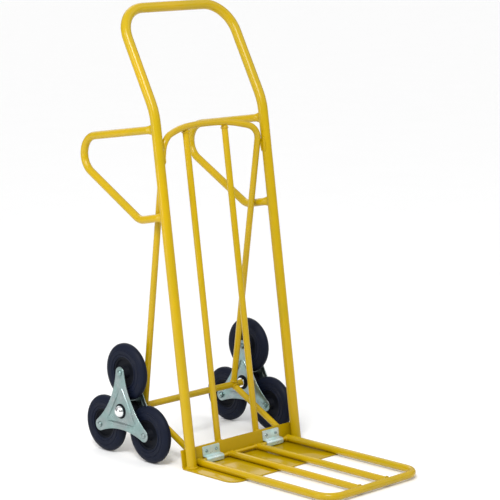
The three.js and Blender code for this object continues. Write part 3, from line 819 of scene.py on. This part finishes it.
class TRUCK_OT_frame_welds(PieceOperator):
    """Lay the weld beads of the frame"""
    bl_idname = "truck.frame_welds"
    bl_label = "Frame welds"

    def execute(self, context):
        sizes = context.scene.truck_sizes
        bar = sizes.bar / 2
        up = leaning(0, 1, 0)
        axle = point(0, AXLE_Y, AXLE_Z)
        beads = []
        for label, sign in SIDES:
            seed = 10 if sign < 0 else 40
            foot = leaning(sign * UPRIGHT_X, SHEET + 1.2 * MM, 0)
            beads.append(ring_bead(foot, point(0, 0, 1), sizes.upright / 2, seed, FOOT_BEAD))
            # load bar on the back of the flange, and under the loop's cross piece
            x = sign * LOAD_BAR_X
            for offset in (-bar, bar):
                start, end = (leaning(x + offset, along, FLANGE_BACK + MM) for along in FLANGE_SEAM)
                beads.append(long_bead(start, end, seed + 1))
            start = leaning(x - bar * 0.7, FLANGE_ALONG, FLANGE_BACK)
            end = leaning(x + bar * 0.7, FLANGE_ALONG, FLANGE_BACK)
            beads.append(long_bead(start, end, seed + 2, THIN_BEAD))
            beads.append(ring_bead(leaning(x, LOOP_TOP_Z - 7 * MM, BAR_BACK), up, bar, seed + 3, BAR_BEAD))
            # brace on the flange, and round the cross tube
            foot = leaning(sign * LOOP_FOOT_X, BRACE_FOOT, FLANGE_FRONT)
            brace_end = axle + point(foot.x, 0, 0)
            run = (brace_end - foot).normalized()
            back = leaning(0, 0, 1)
            seam = foot + run * (SHEET + MM) / run.dot(back)
            beads.append(ring_bead(seam, back, bar, seed + 4, stretch=1.1))
            beads.append(ring_bead(brace_end - run * BEAD_FROM_AXLE, run, bar, seed + 5, BAR_BEAD))
            # loop: legs on the cross tube, shoulders against the uprights
            leg_top = leaning(sign * LOOP_TOP_X, LOOP_CORNER_Z, 0)
            leg = (leg_top - brace_end).normalized()
            beads.append(ring_bead(brace_end + leg * BEAD_FROM_AXLE, leg, bar, seed + 6, BAR_BEAD))
            seam_x = sign * (UPRIGHT_X - sizes.upright / 2 - 0.5 * MM)
            for seam_back in SHOULDER_SEAM_BACKS:
                start, end = (leaning(seam_x, along, seam_back) for along in SHOULDER_SEAM)
                beads.append(long_bead(start, end, seed + 7, SEAM_BEAD))
            # side handle's flattened ends
            x = sign * UPRIGHT_X
            height = sizes.side_handle / 2 * FLAT_TALL
            thin = sizes.side_handle / 2 * FLAT_THIN
            for number, (end, corner) in enumerate(((SIDE_TOP, SIDE_CORNER), (SIDE_BOTTOM, SIDE_KNEE))):
                place = point(x, *end)
                along = (point(x, *corner) - place).normalized()
                seam = place + along * FLAT_SEAM
                for offset in (-thin - 0.5 * MM, thin + 0.5 * MM):
                    shift = point(offset, 0, 0) - along * 2.2 * MM
                    beads.append(long_bead(seam + shift - up * height, seam + shift + up * height,
                                           seed + 8 + number, BAR_BEAD))
        welds = join(beads, "frame_welds")
        hand_over(welds, "frame", "frame_paint", finish="frame_weld", smooth=math.radians(80))
        return {"FINISHED"}


class TRUCK_OT_toe_frame(PieceOperator):
    """Bend the folding toe frame, its bars and rod, and lay its weld beads"""
    bl_idname = "truck.toe_frame"
    bl_label = "Toe frame"

    def execute(self, context):
        sizes = context.scene.truck_sizes
        hoop = pipe("toe_hoop", hoop_path(), sizes.toe_tube, HOOP_SIDES)
        soften(hoop, 1.5 * MM)
        hand_over(hoop, "toe_frame", "frame_paint", ["toe_hoop_tube"])
        reach = HOOP_X - sizes.toe_tube / 2 + MM
        ends = [point(sign * reach, HINGE_Y, TOE_Z) for _, sign in SIDES]
        rod = pipe("toe_rod", straight(*ends), 2 * ROD_RADIUS, ROD_SIDES)
        hand_over(rod, "toe_frame", "frame_paint", ["toe_hinge_rod"])
        front = HOOP_FRONT + sizes.toe_tube / 2
        bar = sizes.toe_bar / 2
        along = point(0, 1, 0)
        beads = []
        for label, sign in SIDES:
            x = sign * TOE_BAR_X
            path = straight(point(x, HINGE_Y - 2 * MM, TOE_Z), point(x, front - 3 * MM, TOE_Z))
            rung = pipe("toe_rung_" + label, path, sizes.toe_bar)
            soften(rung, 1.5 * MM)
            hand_over(rung, "toe_frame", "frame_paint", ["toe_bar_" + label])
            across = point(sign, 0, 0)
            seed = 70 if sign < 0 else 90
            beads.append(ring_bead(point(x, front + MM, TOE_Z), along, bar, seed, RUNG_BEAD))
            for number, reach_x in ((1, bar - MM), (2, MM - bar)):
                place = point(x + sign * reach_x, HINGE_Y, TOE_Z)
                beads.append(ring_bead(place, across, ROD_RADIUS, seed + number, THIN_BEAD))
            inside = sign * (HOOP_X - sizes.toe_tube / 2 + 0.5 * MM)
            beads.append(ring_bead(point(inside, HINGE_Y, TOE_Z), across, ROD_RADIUS, seed + 3, SEAM_BEAD))
        welds = join(beads, "toe_welds")
        hand_over(welds, "toe_frame", "frame_paint", finish="frame_weld", smooth=math.radians(80))
        return {"FINISHED"}


def polar(angle, distance):
    """A place about the axle's centre, at an angle up from straight back."""
    return point(0, math.cos(angle) * distance, math.sin(angle) * distance)


def star_outline(name):
    """One side of a star plate: three round tips joined by hollow sides, drawn by spinning a point."""
    along = STAR_RADIUS / 2
    across = STAR_RADIUS * math.sin(math.pi / 3)
    dip = STAR_WAIST - along
    hollow = (dip ** 2 + across ** 2 - STAR_TIP ** 2) / (2 * (STAR_TIP - dip))
    half_side = math.asin(across / (hollow + STAR_TIP))
    tip_turn = math.pi / 3 + half_side
    first = math.pi / 2
    axle = point(1, 0, 0)
    start = polar(first, STAR_RADIUS) + polar(first - tip_turn, STAR_TIP)
    piece = single_vertex(name, start)
    with Shaping(piece) as shaping:
        bpy.ops.mesh.select_all(action="SELECT")
        for number in range(3):
            angle = first + number * math.tau / 3
            shaping.turn(2 * tip_turn, polar(angle, STAR_RADIUS), axle, 20)
            shaping.turn(-2 * half_side, polar(angle + math.pi / 3, STAR_WAIST + hollow), axle, 18)
        bpy.ops.mesh.select_all(action="SELECT")
        bpy.ops.mesh.remove_doubles(threshold=MEETING)
        bpy.ops.mesh.edge_face_add()
    return piece


def star_plate(name, outwards):
    """A pressed plate about the axle, from x = 0 outwards, with three lens-shaped ribs on its outside."""
    plate = star_outline(name)
    with Shaping(plate) as shaping:
        bpy.ops.mesh.select_all(action="SELECT")
        shaping.pull(point(outwards * STAR_SHEET, 0, 0))
        bpy.ops.mesh.select_all(action="SELECT")
        bpy.ops.mesh.normals_make_consistent(inside=False)
    settle(plate)
    soften(plate, 1.1 * MM, 3)
    parts = [plate]
    for number in range(3):
        angle = math.pi / 2 + math.pi / 3 + number * math.tau / 3
        place = point(outwards * (STAR_SHEET - 0.3 * MM), 0, 0) + polar(angle, RIB_INSIDE)
        rib = fresh(bpy.ops.mesh.primitive_uv_sphere_add, "rib", segments=32, ring_count=24, radius=1.0,
                    location=place, rotation=(angle, 0, 0), scale=RIB_SIZE)
        settle(rib)
        parts.append(rib)
    return join(parts, name)


def in_metres(points):
    return [(x * MM, r * MM) for x, r in points]


def tyre_profile():
    """Half the section, mirrored: a bead at the rim, two moulded steps and a round shoulder."""
    half = [
        (10.5, 42), (12.4, 42.4), (13.4, 44), (13.6, 47.4), (12.3, 48.2), (12.2, 50.2), (13.6, 51.2),
        (14.0, 54), (14.0, 59.8), (12.8, 60.8), (12.7, 62.6), (13.7, 63.8), (13.1, 67.5), (11.8, 71.8),
        (9.4, 75.6), (6.2, 78.4), (3.2, 79.7),
    ]
    full = half + [(0, 80)] + [(-x, r) for x, r in reversed(half)] + half[:1]
    return in_metres(full)


def rim_profile():
    """Half the section, mirrored: the long hub, the thin disc and the rim's flange."""
    half = [
        (22.8, 5.3), (22.8, 12.6), (21.4, 14), (7, 15.5), (4.4, 17.5), (4.2, 33), (6, 35.5), (9.6, 36.6),
        (10.4, 38.2), (10.4, 41.8),
    ]
    full = [(-x, r) for x, r in half] + half[::-1] + [(-half[0][0], half[0][1])]
    return in_metres(full)


def pin_profile():
    """A bolt from its threaded end, inside the star, to its domed head outside."""
    out = BOLT_FACE / MM
    return in_metres([
        (-out - 9, 0), (-out - 9, 4), (-out - 8, 5), (out, 5), (out, 8), (out + 1.6, 8), (out + 2.9, 7.3),
        (out + 4.2, 5.4), (out + 4.8, 3), (out + 5, 0),
    ])


def hub_ring_profile():
    """A bush right through the star, round the axle."""
    end = OUTER_FACE / MM + 2
    return in_metres([
        (-end, 7.3), (-end, 20), (1 - end, 21), (end - 1, 21), (end, 20), (end, 7.3), (-end, 7.3),
    ])


def cap_profile():
    """A dome with a short straight skirt."""
    return in_metres([
        (0, 0), (0, 16), (0.5, 16.5), (3, 16.5), (3.8, 16.1), (6.6, 14.9), (9, 12.9), (11, 10.3),
        (12.6, 7), (13.5, 3.4), (13.8, 0),
    ])


def collar_profile():
    """A flat ring with chamfered edges."""
    return in_metres([(0, 7.3), (0, 13.2), (0.8, 14), (2.2, 14), (3, 13.2), (3, 7.3), (0, 7.3)])


def hexagon_nut(name):
    """A chamfered nut along X, behind the inner plate."""
    nut = fresh(bpy.ops.mesh.primitive_circle_add, name, vertices=6, radius=9.2 * MM, fill_type="NGON",
                location=(-BOLT_FACE, 0, 0), rotation=(0, math.pi / 2, 0))
    with Shaping(nut) as shaping:
        bpy.ops.mesh.select_all(action="SELECT")
        shaping.pull(point(-7 * MM, 0, 0))
        bpy.ops.mesh.select_all(action="SELECT")
        bpy.ops.mesh.normals_make_consistent(inside=False)
    soften(nut, 0.9 * MM, 3)
    settle(nut)
    return nut


def wheel_place(degrees):
    return polar(math.radians(degrees), STAR_RADIUS)


def put_copy(blank, name, side, offset, body, slot, node):
    """Copy a blank made about the origin to its place on one side's star, its outside outwards."""
    piece = copy_of(blank, name)
    piece.rotation_euler = (0, 0, 0 if side > 0 else math.pi)
    piece.location = point(side * STAR_X, AXLE_Y, AXLE_Z) + offset
    hand_over(piece, body, slot, [node])


class TRUCK_OT_wheel_stars(PieceOperator):
    """Press the star plates and turn the hub rings, pins and nuts"""
    bl_idname = "truck.wheel_stars"
    bl_label = "Wheel stars"

    def execute(self, context):
        outer = star_plate("outer_blank", 1)
        inner = star_plate("inner_blank", -1)
        ring = turned("ring_blank", hub_ring_profile())
        pin = turned("pin_blank", pin_profile(), 32)
        nut = hexagon_nut("nut_blank")
        for label, sign in SIDES:
            body = "wheel_star_" + label
            shift = point(sign * PLATE_GAP / 2, 0, 0)
            put_copy(outer, "star_face_outer_" + label, sign, shift, body, "zinc_plate",
                     "star_plate_outer_" + label)
            put_copy(inner, "star_face_inner_" + label, sign, -shift, body, "zinc_plate",
                     "star_plate_inner_" + label)
            put_copy(ring, "hub_ring_" + label, sign, point(0, 0, 0), body, "black_plastic",
                     "star_hub_bush_" + label)
            for wheel, degrees in WHEELS:
                suffix = "%s_%s" % (wheel, label)
                place = wheel_place(degrees)
                put_copy(pin, "wheel_pin_" + suffix, sign, place, body, "zinc_plate", "wheel_bolt_" + suffix)
                put_copy(nut, "pin_nut_" + suffix, sign, place, body, "zinc_plate", "wheel_nut_" + suffix)
        remove(outer, inner, ring, pin, nut)
        return {"FINISHED"}


class TRUCK_OT_wheels(PieceOperator):
    """Turn the tyres and rims"""
    bl_idname = "truck.wheels"
    bl_label = "Wheels"

    def execute(self, context):
        tyre = turned("tyre_blank", tyre_profile(), 96)
        rim = turned("rim_blank", rim_profile(), 64)
        for label, sign in SIDES:
            for wheel, degrees in WHEELS:
                suffix = "%s_%s" % (wheel, label)
                body = "wheel_" + suffix
                place = wheel_place(degrees)
                put_copy(tyre, "tyre_tread_" + suffix, sign, place, body, "rubber", "tyre_" + suffix)
                put_copy(rim, "wheel_disc_" + suffix, sign, place, body, "black_plastic",
                         "wheel_rim_" + suffix)
        remove(tyre, rim)
        return {"FINISHED"}


class TRUCK_OT_axle(PieceOperator):
    """Turn the axle shaft, its dome caps and its collars"""
    bl_idname = "truck.axle"
    bl_label = "Axle"

    def execute(self, context):
        reach = STAR_X + CAP_FOOT + MM
        ends = [point(sign * reach, AXLE_Y, AXLE_Z) for _, sign in SIDES]
        shaft = pipe("axle_shaft", straight(*ends), AXLE_DIAMETER)
        hand_over(shaft, "frame", "chrome", ["axle_rod"])
        cap = turned("cap_blank", cap_profile(), 48)
        collar = turned("collar_blank", collar_profile(), 48)
        for label, sign in SIDES:
            foot = point(sign * CAP_FOOT, 0, 0)
            put_copy(cap, "dome_cap_" + label, sign, foot, "frame", "chrome", "axle_cap_" + label)
            foot = point(sign * (CROSS_TUBE_END + COLLAR_CLEARANCE - STAR_X), 0, 0)
            put_copy(collar, "tube_collar_" + label, sign, foot, "frame", "chrome", "axle_collar_" + label)
        remove(cap, collar)
        return {"FINISHED"}


# ---------- stage ----------
CAMERA_AZIMUTH = math.radians(-43.43)
CAMERA_ELEVATION = math.radians(9.85)
CAMERA_ROLL = math.radians(-0.89)
CAMERA_TARGET = (0.0289, 0.0, 0.5752)
CAMERA_DISTANCE = 5.4736
CAMERA_LENS = 143.57  # millimetres, on a sensor this wide
CAMERA_SENSOR = 36
SKY_LOW = 0.16
SKY_HIGH = 0.8
BROAD_LIGHTS = (  # name, the way it comes from, spread in degrees, strength
    ("key_light", (-2.4, -2.0, 3.2), 16, 1.05),
    ("fill_light", (2.6, -2.6, 2.4), 40, 0.3),
    ("back_light", (1.6, 3.0, 2.6), 40, 0.45),
)
PANEL_LIGHTS = (  # name, place, what it points at, width and height, watts
    ("strip_light", (-2.7, 0.6, 1.5), (0, 0, 0.9), (0.5, 2.4), 22),
    ("upper_light", (-1.5, -1.1, 2.3), (0, 0.15, 1.1), (0.9, 0.9), 28),
)
FLOOR_SIZE = 400.0
FLOOR_DROP = 0.5 * MM


def add_broad_light(name, place, spread, strength):
    """A far, soft light that shines from that way on everything alike."""
    bpy.ops.object.select_all(action="DESELECT")
    bpy.ops.object.light_add(type="SUN", location=place)
    light = bpy.context.object
    light.name = name
    light.rotation_euler = Vector(place).to_track_quat("Z", "Y").to_euler()
    light.data.angle = math.radians(spread)
    light.data.energy = strength


def add_panel_light(name, place, aim, size, watts):
    """A soft panel, wide and tall as given, that the camera itself doesn't see."""
    bpy.ops.object.select_all(action="DESELECT")
    bpy.ops.object.light_add(type="AREA", location=place)
    light = bpy.context.object
    light.name = name
    light.rotation_euler = (Vector(aim) - Vector(place)).to_track_quat("-Z", "Y").to_euler()
    light.data.shape = "RECTANGLE"
    light.data.size, light.data.size_y = size
    light.data.energy = watts
    light.visible_camera = False


def light_sky(tree):
    """White light that is strongest overhead and falls off towards the horizon."""
    place = tree.nodes.new("ShaderNodeTexCoord")
    parts = tree.nodes.new("ShaderNodeSeparateXYZ")
    rise = tree.nodes.new("ShaderNodeMapRange")
    rise.inputs["From Min"].default_value = -0.05
    rise.inputs["From Max"].default_value = 0.75
    rise.inputs["To Min"].default_value = SKY_LOW
    rise.inputs["To Max"].default_value = SKY_HIGH
    tree.links.new(place.outputs["Generated"], parts.inputs[0])
    tree.links.new(parts.outputs["Z"], rise.inputs["Value"])
    tree.links.new(rise.outputs[0], tree.nodes["Background"].inputs["Strength"])
    tree.nodes["Background"].inputs["Color"].default_value = (1, 1, 1, 1)


class TRUCK_OT_stage(PieceOperator):
    """Add the floor, the soft studio light and the camera"""
    bl_idname = "truck.stage"
    bl_label = "Stage"

    def execute(self, context):
        floor = fresh(bpy.ops.mesh.primitive_plane_add, "studio_floor", size=FLOOR_SIZE,
                      location=(0, 0, -FLOOR_DROP))
        settle(floor)
        floor.data.materials.append(plain_floor("studio_floor", tuple(context.scene.truck_colours.floor)))

        world = bpy.data.worlds.new("studio")
        world.use_nodes = True
        light_sky(world.node_tree)
        context.scene.world = world
        for row in BROAD_LIGHTS:
            add_broad_light(*row)
        for row in PANEL_LIGHTS:
            add_panel_light(*row)

        back = point(math.sin(CAMERA_AZIMUTH) * math.cos(CAMERA_ELEVATION),
                     -math.cos(CAMERA_AZIMUTH) * math.cos(CAMERA_ELEVATION), math.sin(CAMERA_ELEVATION))
        camera_data = bpy.data.cameras.new("camera")
        camera = bpy.data.objects.new("camera", camera_data)
        context.scene.collection.objects.link(camera)
        camera.location = Vector(CAMERA_TARGET) + back * CAMERA_DISTANCE
        facing = back.to_track_quat("Z", "Y")
        camera.rotation_euler = (facing.to_matrix() @ Euler((0, 0, CAMERA_ROLL)).to_matrix()).to_euler()
        camera_data.sensor_width = CAMERA_SENSOR
        camera_data.lens = CAMERA_LENS
        camera_data.clip_end = 100
        context.scene.camera = camera
        context.scene.view_settings.view_transform = "Standard"
        return {"FINISHED"}


PIECES = (
    TRUCK_OT_frame_tubes, TRUCK_OT_side_handles, TRUCK_OT_base_plate, TRUCK_OT_hinge_leaves,
    TRUCK_OT_frame_welds, TRUCK_OT_toe_frame, TRUCK_OT_wheel_stars, TRUCK_OT_wheels, TRUCK_OT_axle,
)


class TRUCK_PT_panel(bpy.types.Panel):
    bl_idname = "TRUCK_PT_panel"
    bl_label = "Sack truck"
    bl_space_type = "VIEW_3D"
    bl_region_type = "UI"
    bl_category = "Sack truck"

    def draw(self, context):
        layout = self.layout
        for group in (context.scene.truck_sizes, context.scene.truck_colours):
            box = layout.box()
            for name in group.__annotations__:
                box.prop(group, name)
        for operator in (TRUCK_OT_stage,) + PIECES:
            layout.operator(operator.bl_idname)


CLASSES = (TruckSizes, TruckColours, TRUCK_OT_stage) + PIECES + (TRUCK_PT_panel,)


def register():
    for cls in CLASSES:
        bpy.utils.register_class(cls)
    bpy.types.Scene.truck_sizes = PointerProperty(type=TruckSizes)
    bpy.types.Scene.truck_colours = PointerProperty(type=TruckColours)


def unregister():
    del bpy.types.Scene.truck_colours
    del bpy.types.Scene.truck_sizes
    for cls in reversed(CLASSES):
        bpy.utils.unregister_class(cls)


def main():
    register()
    bpy.ops.truck.stage()
    for operator in PIECES:
        group, name = operator.bl_idname.split(".")
        getattr(getattr(bpy.ops, group), name)()


if __name__ == "__main__":
    main()
